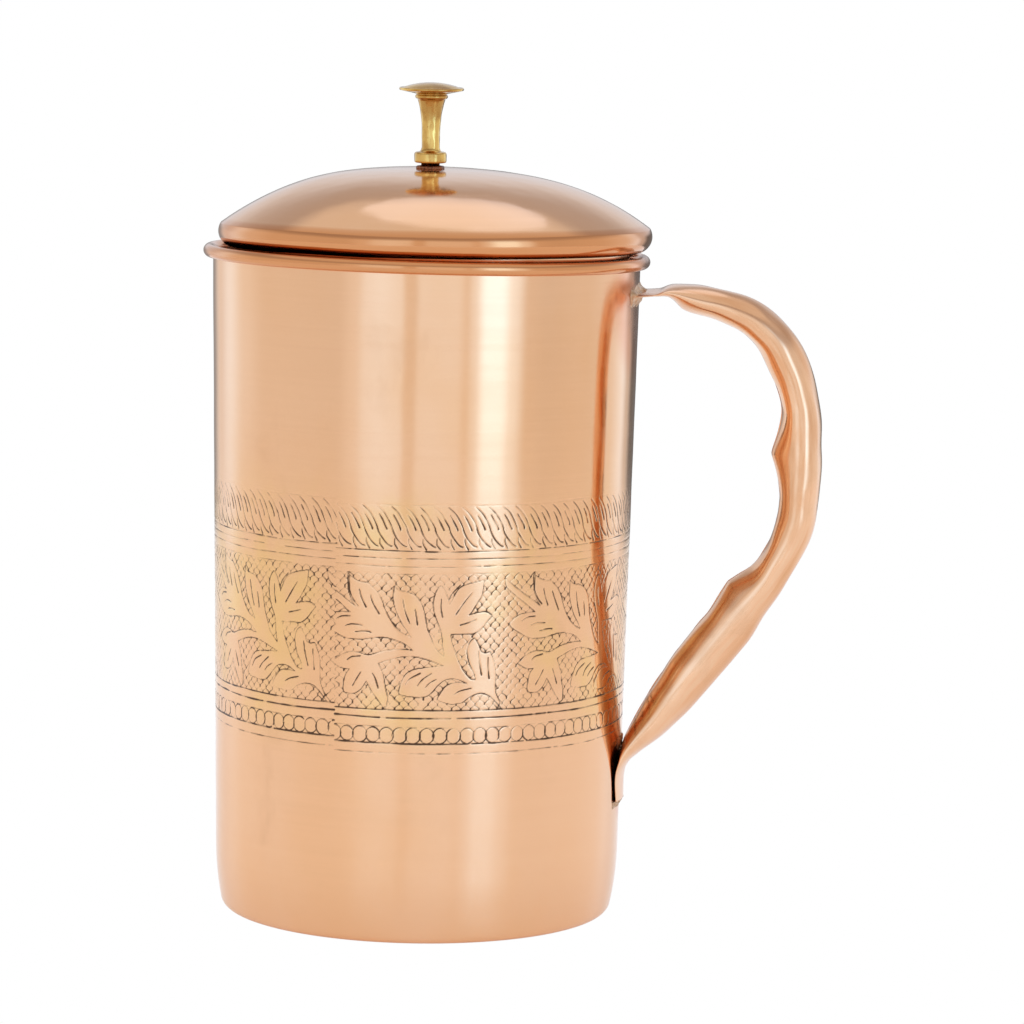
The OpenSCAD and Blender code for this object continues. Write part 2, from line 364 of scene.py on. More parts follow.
def turned_copper(name, centre_x=0.0, slope=1.0, rough=(0.125, 0.155), stretch=0.97):
    """Polished spun copper: fine marks round the axis, uneven tone and a few dull smears."""
    s = Shader(name)
    place = s.place()
    turned = turned_coordinates(s, centre_x, slope)
    hairs = s.noise(s.scaled(turned, (18, 18, 5200)), detail=3, roughness=0.65)
    bands = s.noise(s.scaled(turned, (7, 7, 420)), detail=2)
    clouds = s.noise(s.scaled(place, (20, 20, 13)), detail=4, roughness=0.55)
    blots = s.noise(s.scaled(place, (45, 45, 28)), detail=5, roughness=0.6, distortion=0.4)
    tone = s.blend(s.span(clouds, 0.36, 0.64), COPPER_WARM, COPPER_PINK)
    tone = s.blend(s.span(hairs, 0.35, 0.75, 0.0, 0.06), tone, COPPER_DULL)
    tone = s.blend(s.span(blots, 0.60, 0.80, 0.0, 0.18), tone, COPPER_DULL)
    # Painted shade: the deep attribute marks the lip's roll and the lid's edge band, which are
    # tinted darker for the shade and dim reflections round their gap.
    tone = s.blend(s.math("MULTIPLY", s.attribute("deep"), 0.9), tone, COPPER_GAP_SHADE)
    low, high = rough
    roughness = s.math("ADD", s.span(bands, 0.3, 0.7, low, high),
                       s.span(blots, 0.55, 0.75, 0.0, 0.06))
    scratches = s.bump(hairs, 0.000006, 0.5)
    ripple = s.bump(bands, 0.00002, 0.2, scratches)
    s.set(Base_Color=tone, Metallic=1.0, Roughness=roughness, Normal=ripple,
          Anisotropic=stretch, Anisotropic_Rotation=0.25)
    s.put(s.surface.inputs["Tangent"], s.node("ShaderNodeTangent", direction_type="RADIAL",
                                              axis="Z"))
    return s


# Where the handle's joints have stained the wall: distance out, height and reach
JOINT_STAINS = [(57.0, 162.0, 26.0), (56.0, 33.0, 10.0)]


def engraved_copper():
    """The vessel's copper, with golden tarnish and dark dirt held in the graver's cuts."""
    s = turned_copper("copper_engraved")
    place = s.place()
    tone = s.surface.inputs["Base Color"].links[0].from_socket
    roughness = s.surface.inputs["Roughness"].links[0].from_socket
    height = s.axis(place, "Z")
    in_band = s.math("MULTIPLY", s.span(height, 0.046, 0.062), s.span(height, 0.124, 0.104))
    patches = s.noise(s.scaled(place, (38, 38, 30)), detail=4, roughness=0.6)
    gilded = s.math("MULTIPLY", in_band, s.span(patches, 0.44, 0.70, 0.05, 0.75))
    tone = s.blend(gilded, tone, COPPER_GOLD)
    spots = s.noise(s.scaled(place, (240, 240, 240)), detail=5, roughness=0.7)
    for out, z, reach in JOINT_STAINS:
        far = s.vector("DISTANCE", place, (out * MM, 0, z * MM), output="Value")
        tone = s.blend(s.span(far, reach * MM, 0.7 * reach * MM, 0.0, 0.85), tone, COPPER_RED)
        near = s.span(far, 0.7 * reach * MM, 0.35 * reach * MM)
        stained = s.math("MULTIPLY", near, s.span(spots, 0.34, 0.62, 0.25, 0.95))
        tone = s.blend(stained, tone, STAIN)
        roughness = s.math("ADD", roughness, s.math("MULTIPLY", stained, 0.22))
    cut = s.attribute("cut")
    dirt = s.noise(s.scaled(place, (260, 260, 260)), detail=3)
    held = s.math("MULTIPLY", cut, s.span(dirt, 0.3, 0.65, 0.5, 1.3), clamp=True)
    held = s.span(held, 0.06, 0.58)
    s.set(Base_Color=s.blend(held, tone, GROOVE))
    s.set(Roughness=s.math("ADD", roughness, s.math("MULTIPLY", held, 0.35), clamp=True))
    s.set(Metallic=s.math("SUBTRACT", 1.0, s.math("MULTIPLY", held, 0.5)))
    return s.material


def handle_copper():
    """Copper sheet drawn and burnished along the handle's length, stained at its joints."""
    s = Shader("copper_handle")
    place = s.place()
    sweep = s.attribute("sweep", "Vector")
    hairs = s.noise(s.scaled(sweep, (60, 4200, 0)), detail=3, roughness=0.6)
    streaks = s.noise(s.scaled(sweep, (20, 130, 0)), detail=4, roughness=0.6, distortion=0.3)
    blots = s.noise(s.scaled(place, (70, 70, 70)), detail=5, roughness=0.6, distortion=0.5)
    tone = s.blend(s.span(streaks, 0.34, 0.62), HANDLE_DARK, HANDLE_PALE)
    tone = s.blend(s.span(hairs, 0.4, 0.8, 0.0, 0.12), tone, COPPER_DULL)
    tone = s.blend(s.span(blots, 0.56, 0.76, 0.0, 0.25), tone, COPPER_DULL)
    heat = s.attribute("heat")
    tone = s.blend(s.math("MULTIPLY", heat, s.span(blots, 0.3, 0.6, 0.4, 1.0)), tone, STAIN)
    roughness = s.math("ADD", s.span(blots, 0.35, 0.65, 0.13, 0.22),
                       s.span(hairs, 0.3, 0.8, 0.0, 0.06))
    dents = s.noise(s.scaled(place, (160, 160, 160)), detail=2)
    normal = s.bump(hairs, 0.000008, 0.5)
    normal = s.bump(streaks, 0.00015, 0.4, normal)
    normal = s.bump(dents, 0.00008, 0.3, normal)
    s.set(Base_Color=tone, Metallic=1.0, Roughness=roughness, Normal=normal)
    return s.material


def turned_brass():
    """Turned brass with tool rings, pits and darker patches here and there."""
    s = Shader("brass_turned")
    place = s.place()
    turned = turned_coordinates(s, KNOB_X, 1.0)
    rings = s.noise(s.scaled(turned, (30, 30, 3800)), detail=2)
    clouds = s.noise(s.scaled(place, (140, 140, 140)), detail=4)
    pits = s.noise(s.scaled(place, (1500, 1500, 900)), detail=3, roughness=0.7)
    tone = s.blend(s.span(clouds, 0.38, 0.64, 0.0, 0.8), BRASS, BRASS_DULL)
    tone = s.blend(s.span(pits, 0.60, 0.74, 0.0, 0.8), tone, BRASS_DULL)
    roughness = s.math("ADD", s.span(clouds, 0.3, 0.7, 0.05, 0.13),
                       s.span(pits, 0.58, 0.75, 0.0, 0.25))
    normal = s.bump(rings, 0.00002, 0.5)
    normal = s.bump(pits, 0.00006, 0.5, normal)
    s.set(Base_Color=tone, Metallic=1.0, Roughness=roughness, Normal=normal)
    return s.material


def braze_metal():
    """Brazing metal and flux stains: mottled bronze, brown and near-black."""
    s = Shader("braze_metal")
    place = s.place()
    spots = s.noise(s.scaled(place, (330, 330, 330)), detail=6, roughness=0.7)
    clouds = s.noise(s.scaled(place, (150, 150, 150)), detail=4)
    tone = s.blend(s.span(clouds, 0.35, 0.65), rgb(0.68, 0.43, 0.26), rgb(0.44, 0.27, 0.155))
    tone = s.blend(s.span(spots, 0.56, 0.72), tone, rgb(0.10, 0.055, 0.028))
    s.set(Base_Color=tone, Metallic=0.9,
          Roughness=s.span(spots, 0.35, 0.7, 0.24, 0.55),
          Normal=s.bump(spots, 0.0002, 0.7))
    return s.material


def shaded_dirty_washer():
    """Copper washer under the knob's foot, near-black all over: partly dirt, partly painted shade
    under the foot.
    """
    s = Shader("washer_shade_and_dirt")
    place = s.place()
    spots = s.noise(s.scaled(place, (700, 700, 700)), detail=5, roughness=0.7)
    # Painted shade: the near-black stands in for the shade under the knob's foot, mixed with real
    # dirt.
    tone = s.blend(s.span(spots, 0.34, 0.60), rgb(0.09, 0.03, 0.015), rgb(0.38, 0.14, 0.06))
    s.set(Base_Color=tone, Metallic=0.8, Roughness=s.span(spots, 0.3, 0.7, 0.3, 0.6),
          Normal=s.bump(spots, 0.00012, 0.8))
    return s.material


def plain_steel():
    """Zinc-plated steel with fine marks and dull patches."""
    s = Shader("steel_plain")
    place = s.place()
    marks = s.noise(s.scaled(place, (900, 900, 3000)), detail=3)
    clouds = s.noise(s.scaled(place, (240, 240, 240)), detail=4)
    tone = s.blend(s.span(clouds, 0.35, 0.65), rgb(0.52, 0.52, 0.51), rgb(0.36, 0.35, 0.33))
    s.set(Base_Color=tone, Metallic=1.0, Roughness=s.span(marks, 0.3, 0.7, 0.25, 0.42),
          Normal=s.bump(marks, 0.00003, 0.5))
    return s.material


# --- Engraving ---

SEAM_ANGLE = -107.6             # where the engraver started and ended, in degrees about +Z
SEAM_RISE = 1.0                 # how far the lines have crept up when they come round again
BAND_LOW, BAND_HIGH = 48.0, 114.0
BAND_R = 53.5
GIRTH = math.tau * BAND_R
COARSE = 360                    # points round the plain wall
FINE_RATIO = 4                  # times as many round the engraved band
FINE = COARSE * FINE_RATIO
ROW_PITCH = 0.235
SUPER = 3                       # raster samples along each side of a mesh cell
CUT_DEPTH = 0.10
DOT_STEP = 0.1

UNIT = 48.4                     # length of the repeated spray of leaves
UNIT_START = -22.0
MESH_LOW, MESH_HIGH = 60.5, 95.0
MESH_CELL = (2.42, 2.6)         # width and height of a diamond of the hatched ground
ROPE_PITCH = 3.54
ROPE_STROKES = [
    # curve in millimetres from the stroke's start along the band, with heights, and width
    ([(0, 112), (1.7, 110.5), (2.9, 108.7), (3.7, 107), (4.2, 105.5), (5.2, 103.8),
      (6.5, 102.4), (7.5, 101.9)], 0.17),
    ([(0.5, 110), (1.4, 108.6), (2.2, 107), (2.5, 106.2)], 0.2),
    ([(4.4, 104), (4.5, 102.7), (5.3, 101.3)], 0.175),
]
ROUND_LINES = [
    # height, width, darkness
    (112.4, 0.14, 0.4), (100.8, 0.2, 0.85), (98.9, 0.18, 0.7), (97.0, 0.2, 0.75),
    (95.1, 0.16, 0.5), (60.5, 0.24, 0.85), (58.5, 0.34, 1.0), (56.1, 0.18, 0.6),
    (51.9, 0.28, 1.0), (49.5, 0.2, 0.65),
]
RING_PITCH = 3.43
RING_Z = 54.0
RING_SIZE = (1.84, 1.95)

# Edges of the hatched ground between the leaves, from the upper left round each gap. The stem,
# the leaves and their tips are what these outlines leave bare.
GROUND_UPPER = [
    (-18.3, 95), (-18.2, 94.2), (-16, 92.9), (-13.5, 92.5), (-12.5, 91.8), (-11, 90.3),
    (-9.7, 88), (-9.2, 86.5), (-8, 84), (-6, 81.3), (-4.2, 79.9), (-2.4, 79.2),
    (-3.5, 80.8), (-5, 83), (-6.3, 85.8), (-7, 88.6), (-6.8, 92), (-5.5, 91),
    (-3.5, 90.6), (-1.5, 89.8), (0, 88), (0.8, 86), (1.4, 83), (1.9, 81), (2.7, 79),
    (3.5, 77), (4.8, 75.3), (6.1, 74.3), (5.6, 77), (5.4, 79.3), (5.1, 81), (4.2, 83),
    (3.4, 85.5), (3.1, 88), (3.6, 90.5), (4.7, 92.3), (5.6, 91.6), (6.5, 89.8),
    (7.2, 87.5), (8.2, 89.5), (9.5, 91.5), (11.5, 92.6), (13.5, 93.1), (16, 93.6),
    (15.8, 91.5), (15.4, 89.5), (14.5, 88), (13, 85.7), (12.2, 84.8), (15, 85.4),
    (17, 85.4), (18.3, 84.5), (17, 83), (15.5, 81.2), (13.5, 80), (11, 79.9),
    (7.7, 79.8), (8, 78), (8.8, 75.5), (9.8, 73), (11.2, 70.5), (12.8, 68.6),
    (14.2, 68.3), (13.8, 70), (12.7, 72), (12.1, 74), (12, 76), (12.6, 78),
    (13.8, 78.9), (15, 77), (15.6, 75.6), (16.6, 75.1), (18, 75.3), (18.6, 74),
    (19.3, 72), (19.6, 69.5), (19.6, 66), (20, 64.3), (21, 62.3), (22, 60.5),
    (39, 60.5), (39, 61.3), (37, 64), (35.8, 65.8), (34.7, 67.5), (33.5, 65.5),
    (31.8, 64.3), (29.5, 64.2), (28.7, 65), (28.8, 67), (29.3, 69), (30.3, 70.3),
    (28.5, 70.4), (27, 71), (25.6, 72), (28, 73.8), (30.5, 74.8), (32.8, 74.7),
    (34.5, 74.2), (36, 74.4), (39, 75.4), (43, 76), (46.5, 75.8), (44.5, 77.3),
    (42, 78.3), (39, 78.8), (36, 78.5), (33, 78), (30, 78.1), (28, 78.6), (26, 79.7),
    (24, 81), (22.8, 82.2), (24, 83.3), (26, 84.4), (28, 84.8), (30.4, 84.8),
    (27.5, 87.1), (25, 88.9), (22, 91.5), (21.5, 94), (24, 91.9), (26, 90.4), (28, 89),
    (30, 87.6), (31.9, 86.3), (30.8, 87.8), (29.9, 90), (29.7, 92), (29.7, 93.9),
    (29.8, 95),
]
GROUND_LOWER = [
    (-10.5, 72.3), (-8, 73.2), (-5, 74), (-2, 74.2), (1, 73.6), (4, 72.6), (6, 71.9),
    (2, 71.5), (-1.5, 71), (-3.5, 69.7), (-4.7, 67.5), (-5.3, 65.5), (-5.2, 64.6),
    (-3.5, 64.1), (-1, 63.9), (1.5, 64.1), (3.2, 65.2), (4.5, 66.8), (6.2, 68.2),
    (7.5, 68.6), (9, 68.6), (10.5, 68.2), (12, 67.4), (10.5, 67.6), (9, 67.6),
    (7.2, 67.1), (5.8, 65.8), (4.8, 64.3), (4.5, 63.3), (5.8, 62.6), (8, 62.2),
    (9.5, 62.3), (11, 62.6), (13, 64), (15.5, 64.7), (17.5, 64.3), (19.3, 63),
    (21.5, 60.6), (21.5, 60.5), (-7, 60.5), (-8.2, 61.5), (-8, 63.5), (-8.6, 66),
    (-9, 68), (-9.5, 70),
]
VEINS = [
    [(-18.3, 94), (-18.2, 90.5), (-17.3, 88.3), (-16, 86.6)],
    [(-15.7, 90.7), (-15, 88.5), (-14, 86.3)],
    [(-12.8, 89.7), (-12, 87.5), (-10.5, 84.8)],
    [(-21.8, 82.8), (-20.3, 83.6), (-18, 83.8)],
    [(-19.3, 81.4), (-17.5, 81.9), (-14.8, 81.7)],
    [(-16.7, 79.9), (-14, 80.2), (-12.6, 80)],
    [(-4.6, 89), (-3.8, 85.5), (-2.7, 82.5)],
    [(-1.4, 86.3), (-1.1, 84.3), (-0.8, 82.3)],
    [(5, 89), (5.1, 86.5), (5.5, 84.3)],
    [(12.8, 90.5), (11, 88), (8.9, 84.8)],
    [(7, 88.5), (7.8, 90.2), (9.8, 92.3)],
    [(14, 83.5), (12, 82.9), (10, 82.3)],
    [(14.7, 75.5), (15, 73), (15.9, 69.3)],
    [(17.4, 73.8), (17.6, 71), (17.8, 68.3)],
    [(-3.6, 67), (-2.5, 68.7), (0, 70)],
    [(-0.6, 66.8), (0.6, 68.3), (2.9, 69.9)],
    [(1.5, 66.4), (2.5, 67.5), (4.2, 68.5)],
    [(8.8, 64.6), (10.3, 65.5), (13.1, 66.2)],
    [(-18.7, 72.5), (-17.5, 73.4), (-15.2, 73.9)],
    [(-15, 69.8), (-16, 68), (-17.2, 66.1)],
    [(-12, 69.8), (-11.3, 68.3), (-10.4, 65.9)],
]


class Band:
    """The engraved band, unrolled from the seam: how deeply each spot is cut, from 0 to 1."""

    def __init__(self):
        self.rows = int(round((BAND_HIGH - BAND_LOW) / ROW_PITCH)) + 1
        self.row_pitch = (BAND_HIGH - BAND_LOW) / (self.rows - 1)
        self.width = FINE * SUPER
        self.height = self.rows * SUPER
        self.dx = GIRTH / self.width
        self.dz = self.row_pitch / SUPER
        self.cut = np.zeros(self.width * self.height, np.float32)

    def stroke(self, x, z, width, depth=1.0):
        """Cut a row of overlapping dots of the given width, each with its own depth."""
        x, z = np.broadcast_arrays(np.asarray(x, float), np.asarray(z, float))
        radius = np.broadcast_to(np.asarray(width, float) / 2, x.shape)
        depth = np.broadcast_to(np.asarray(depth, float), x.shape)
        inside = (x >= 0) & (x < GIRTH)
        x, z, radius, depth = x[inside], z[inside], radius[inside], depth[inside]
        if not len(x):
            return
        z = z + SEAM_RISE * (x / GIRTH) ** 2
        col = x / self.dx + 1
        row = (z - BAND_LOW) / self.dz + 1
        col_i, row_i = np.round(col).astype(int), np.round(row).astype(int)
        soft = 0.09
        reach = int(math.ceil((radius.max() + soft / 2) / min(self.dx, self.dz)))
        for i in range(-reach, reach + 1):
            for j in range(-reach, reach + 1):
                far = np.hypot((col_i + i - col) * self.dx, (row_i + j - row) * self.dz)
                value = np.clip((radius - far) / soft + 0.5, 0, 1) * depth
                rows = row_i + j
                keep = (value > 0) & (rows >= 0) & (rows < self.height)
                index = rows[keep] * self.width + (col_i[keep] + i) % self.width
                np.maximum.at(self.cut, index, value[keep].astype(np.float32))

    def at_points(self):
        """Mean cut at each point of the band's mesh, as rows by columns."""
        blocks = self.cut.reshape(self.rows, SUPER, FINE, SUPER)
        return blocks.mean((1, 3))


def resampled(points, step=DOT_STEP):
    """Points at equal steps along a polyline, and how far along it each is, from 0 to 1."""
    points = np.asarray(points, float)
    lengths = np.hypot(*np.diff(points, axis=0).T)
    along = np.concatenate([[0], np.cumsum(lengths)])
    count = max(2, int(along[-1] / step))
    t = np.linspace(0, along[-1], count)
    return (np.interp(t, along, points[:, 0]), np.interp(t, along, points[:, 1]), t / along[-1])


def hand_stroke(band, points, width, depth=1.0, shake=0.06, blob=0.5):
    """One curved cut through given points, a little shaky and thicker at its end."""
    points = np.asarray(points, float) + rng.uniform(-shake, shake, (len(points), 2))
    x, z, t = resampled(catmull(points, 8))
    beats = np.interp(t * len(t) * DOT_STEP / 0.9, np.arange(80), rng.uniform(0.45, 1.0, 80))
    swell = width * (0.75 + 0.35 * np.sin(math.pi * t) + blob * t**4) * (0.7 + 0.4 * beats)
    band.stroke(x, z, swell, depth * np.clip(beats + 0.25, 0, 1))


def split_at_corners(points, turn=62):
    """The stretches of an outline between its sharp corners."""
    points = np.asarray(points, float)
    runs, run = [], [points[0]]
    for a, b, c in zip(points, points[1:], points[2:]):
        run.append(b)
        before, after = b - a, c - b
        cosine = before @ after / (np.hypot(*before) * np.hypot(*after))
        if math.degrees(math.acos(max(-1, min(1, cosine)))) > turn:
            runs.append(run)
            run = [b]
    run.append(points[-1])
    runs.append(run)
    return [np.array(r) for r in runs]


def inside(polygon, x, z):
    """Which of the points x, z lie inside the polygon."""
    polygon = np.asarray(polygon, float)
    hit = np.zeros(x.shape, bool)
    for (x0, z0), (x1, z1) in zip(polygon, np.roll(polygon, -1, axis=0)):
        if z0 == z1:
            continue
        crosses = (z0 > z) != (z1 > z)
        hit ^= crosses & (x < (x1 - x0) * (z - z0) / (z1 - z0) + x0)
    return hit


def ground_map():
    """Which cells of one repeat of the spray are hatched ground, as columns by rows."""
    columns, rows = int(UNIT / DOT_STEP), int((MESH_HIGH - MESH_LOW) / DOT_STEP)
    s = (np.arange(columns)[:, None] + 0.5) * UNIT / columns + UNIT_START
    z = (np.arange(rows)[None, :] + 0.5) * (MESH_HIGH - MESH_LOW) / rows + MESH_LOW
    s, z = np.broadcast_arrays(s, z)
    hit = np.zeros(s.shape, bool)
    for polygon in (GROUND_UPPER, GROUND_LOWER):
        for shift in (-UNIT, 0, UNIT):
            hit |= inside(polygon, s + shift, z)
    return hit


def on_ground(ground, x, z):
    """Which points along the band are on the hatched ground."""
    columns, rows = ground.shape
    column = (np.mod(x, UNIT) / UNIT * columns).astype(int) % columns
    row = ((z - MESH_LOW) / (MESH_HIGH - MESH_LOW) * rows).astype(int)
    return ground[column, np.clip(row, 0, rows - 1)] & (row >= 0) & (row < rows)


def engrave_lines(band):
    """The plain lines that run round the jug."""
    count = int(GIRTH / DOT_STEP)
    x = np.arange(count) * GIRTH / count
    for number, (z, width, depth) in enumerate(ROUND_LINES):
        wander = 0.10 * soft_noise(count, 14, GIRTH, 40 + number)
        press = 0.78 + 0.35 * soft_noise(count, 5, GIRTH, 60 + number)
        press = np.clip(press - 0.5 * (soft_noise(count, 2.2, GIRTH, 80 + number) > 0.72), 0, 1)
        swell = width * (1 + 0.3 * soft_noise(count, 3, GIRTH, 100 + number))
        band.stroke(x, z + wander, swell, depth * press)


def engrave_rope(band):
    """The twisted border above the leaves."""
    count = int(round(GIRTH / ROPE_PITCH))
    for i in range(-2, count + 1):
        start = i * GIRTH / count + rng.uniform(-0.12, 0.12)
        for points, width in ROPE_STROKES:
            hand_stroke(band, np.array(points) + (start, 0), width, shake=0.09, blob=0.8)


def engrave_rings(band):
    """The row of circles below the leaves."""
    count = int(round(GIRTH / RING_PITCH))
    for i in range(count + 1):
        centre = i * GIRTH / count + rng.uniform(-0.08, 0.08)
        start = rng.uniform(0, math.tau)
        t = np.linspace(start, start + math.tau * rng.uniform(0.93, 1.0), 110)
        size = np.array(RING_SIZE) * rng.uniform(0.96, 1.04)
        width = 0.165 * (1 + 0.35 * np.sin(t * 2 + rng.uniform(0, 6)))
        band.stroke(centre + size[0] * np.cos(t), RING_Z + size[1] * np.sin(t), width, 0.95)


def engrave_ground(band):
    """The diamond hatching between the leaves, cut as short separate strokes."""
    columns = int(round(GIRTH / MESH_CELL[0]))
    wide = GIRTH / columns
    rows = int(round((MESH_HIGH - MESH_LOW) / MESH_CELL[1]))
    tall = (MESH_HIGH - MESH_LOW) / rows
    t = np.linspace(0.04, 0.96, 15)
    ground = ground_map()
    for j in range(2 * rows):
        low, high = MESH_LOW + j * tall / 2, MESH_LOW + (j + 1) * tall / 2
        for i in range(columns + 1):
            peak = (i + 0.5 * (j % 2)) * wide
            for lean in (-1, 1):
                a = np.array([peak, high]) + rng.uniform(-0.12, 0.12, 2)
                b = np.array([peak + lean * wide / 2, low]) + rng.uniform(-0.12, 0.12, 2)
                bow = lean * rng.uniform(0.22, 0.5)
                x = a[0] + (b[0] - a[0]) * t + bow * np.sin(math.pi * t)
                z = a[1] + (b[1] - a[1]) * t
                keep = on_ground(ground, x, z)
                if keep.any():
                    width = rng.uniform(0.12, 0.2) * (0.7 + 0.5 * t)
                    band.stroke(x[keep], z[keep], width[keep], rng.uniform(0.45, 1.0))


def engrave_leaves(band):
    """The outlines of the leaves and stems, and the veins cut into them."""
    for repeat in range(-1, int(GIRTH / UNIT) + 1):
        shift = (repeat * UNIT - UNIT_START, 0)
        for outline in (GROUND_UPPER, GROUND_LOWER + GROUND_LOWER[:1]):
            for run in split_at_corners(outline):
                flat = np.ptp(run[:, 1]) < 0.05
                if flat and run[0][1] in (MESH_LOW, MESH_HIGH):
                    continue
                hand_stroke(band, run + shift, 0.15, 0.9, shake=0.07, blob=0.3)
        for vein in VEINS:
            hand_stroke(band, np.array(vein) + shift, 0.2, shake=0.12, blob=0.6)


def engraving():
    band = Band()
    engrave_ground(band)
    engrave_leaves(band)
    engrave_lines(band)
    engrave_rope(band)
    engrave_rings(band)
    return band


# --- Vessel ---

def vessel_side(inset):
    """Section from the base's centre to the start of the straight wall, moved in by inset."""
    lean = math.atan(WALL_LEAN)
    long_centre = np.array([wall_r(BASE_CURVE_H) - BASE_CURVE_R * math.cos(lean),
                            BASE_CURVE_H + BASE_CURVE_R * math.sin(lean)])
    gap = BASE_CURVE_R - BASE_CORNER_R
    meet = math.asin((long_centre[1] - BASE_CORNER_R) / gap)
    corner = long_centre + gap * np.array([math.cos(meet), -math.sin(meet)])
    turn, lean = math.degrees(meet), math.degrees(lean)
    floor_r = np.linspace(0, corner[0], 14)[1:-1]
    return np.vstack([
        np.column_stack([floor_r, np.full(len(floor_r), inset)]),
        arc(corner, BASE_CORNER_R - inset, -90, -turn, 10),
        arc(long_centre, BASE_CURVE_R - inset, -turn, -lean, 10)[1:],
    ])


def uneven(points, angle):
    """A section point's ring, with the hand-made wall's faint unevenness."""
    radius, z = points
    x, y = radius * np.cos(angle), radius * np.sin(angle)
    arc_length = angle * BAND_R
    whole = np.sin(angle * 2 + 0.7) * 0.10 + np.sin(angle * 3 + z * 0.02) * 0.05
    fine = 0.018 * waves(arc_length, np.full_like(angle, z), 5, 14, 16, 50)
    share = smoothstep(4, 25, radius) * smoothstep(0.5, 12, z + 1.5)
    slant = -(LIP_TILT * x + LIP_RISE * y) / LIP_CENTRE
    return radius + (whole + fine) * share, z + slant * smoothstep(110, 165, z)


def jug_body(material):
    band = engraving()
    band_z = BAND_LOW + np.arange(band.rows) * band.row_pitch
    depth = band.at_points()
    turn = int(round((SEAM_ANGLE % 360) / 360 * FINE))
    depth = np.roll(depth, turn, axis=1)
    outer = vessel_side(0)
    inner = vessel_side(SHEET)
    lower = [(wall_r(z), z) for z in np.linspace(BASE_CURVE_H, BAND_LOW, 14)[1:-1]]
    upper = [(wall_r(z), z) for z in np.linspace(BAND_HIGH, LIP_Z - 0.5, 24)[1:]]
    lip = (LIP_CENTRE, LIP_Z)
    roll = [*arc(lip, WIRE_R, 180, LIP_END, 18), *arc(lip, LIP_R, LIP_END, 180, 34)]
    inside_wall = [(wall_r(z) - SHEET, z) for z in np.linspace(LIP_Z - 1, BASE_CURVE_H, 30)]
    coarse_angle, fine_angle = full_turn(COARSE), full_turn(FINE)
    rings, cuts, deep = [(0, 0)], [np.zeros(1)], [np.zeros(1)]

    def add(points, gap_shade=0.0):
        for point in points:
            rings.append(uneven(point, coarse_angle))
            cuts.append(np.zeros(COARSE))
            deep.append(np.full(COARSE, gap_shade))

    add([*outer, *lower])
    for z, row in zip(band_z, depth):
        radius, height = uneven((wall_r(z), z), fine_angle)
        rings.append((radius - CUT_DEPTH * row, height))
        cuts.append(row)
        deep.append(np.zeros(FINE))
    add(upper)
    # The roll carries painted shade, the darker tint of the gap under the lid.
    add(roll, 1.0)
    add([*inside_wall, *inner[::-1]])
    rings.append((0, SHEET))
    cuts.append(np.zeros(1))
    deep.append(np.zeros(1))
    body = lathe("jug_vessel", rings, material,
                 attributes=[("cut", "FLOAT", np.concatenate(cuts)),
                             ("deep", "FLOAT", np.concatenate(deep))])
    settle(body, "jug", "jug_body")


def rim_wire(material):
    """The wire in the rolled lip, which follows it."""
    angle = full_turn(COARSE)
    loops = []
    for point in arc((LIP_CENTRE, LIP_Z), WIRE_R - WIRE_PLAY, 360, 0, 16)[:-1]:
        radius, z = uneven(point, angle)
        loops.append(np.column_stack([radius * np.cos(angle), radius * np.sin(angle), z]))
    settle(swept_ring("lip_wire", loops, material), "jug", "rim_wire")


# --- Handle ---

# Spine from the upper joint to the lower tab's tip: distance out from the wall, height,
# half depth, half width, share of the wall's curve followed
HANDLE_KNOTS = [
    (0.1, 162.2, 0.55, 11, 1),
    (2.5, 162.2, 0.55, 10.8, 0.9),
    (5.5, 162.5, 0.65, 10.2, 0.6),
    (9, 163, 1.6, 9.4, 0.3),
    (15, 161.3, 3.3, 8.6, 0),
    (23, 159.2, 4.1, 8, 0),
    (31, 155.4, 4.5, 7.6, 0),
    (37.6, 148.1, 5.1, 7.5, 0),
    (42.6, 135.5, 4.9, 7.5, 0),
    (43.6, 122, 5.1, 7.5, 0),
    (43.4, 110, 5.05, 7.5, 0),
    (42, 100.5, 4.9, 7.5, 0),
    (37, 90.4, 4.8, 7.6, 0),
    (33, 84.6, 5.3, 7.7, 0),
    (26.9, 76.5, 6.4, 8, 0),
    (17.5, 64, 6.2, 8.6, 0),
    (9, 52, 4.8, 9.6, 0.2),
    (3.1, 44.5, 2.7, 10.4, 0.6),
    (1.3, 40.3, 1.1, 10.6, 0.9),
    (0.65, 36.5, 0.55, 10.2, 1),
    (0.65, 30.5, 0.55, 8.5, 1),
]
# Finger ridges on the inner side: distance out from the wall, height, rise, reach
FINGER_RIDGES = [(12.5, 162, 1, 7), (43.6, 121.8, 2.7, 11), (32.2, 83.6, 2.1, 10)]
RIDGE_POWER = 1.5
RIDGE_SOFT = 0.7                # rounds each ridge's crest
BACK_POWER = 1.0
FINGER_POWER = 0.88
HANDLE_SHEET = 0.5
HANDLE_SEAM = 0.6
HANDLE_STEPS = 14
SECTION_POINTS = 110


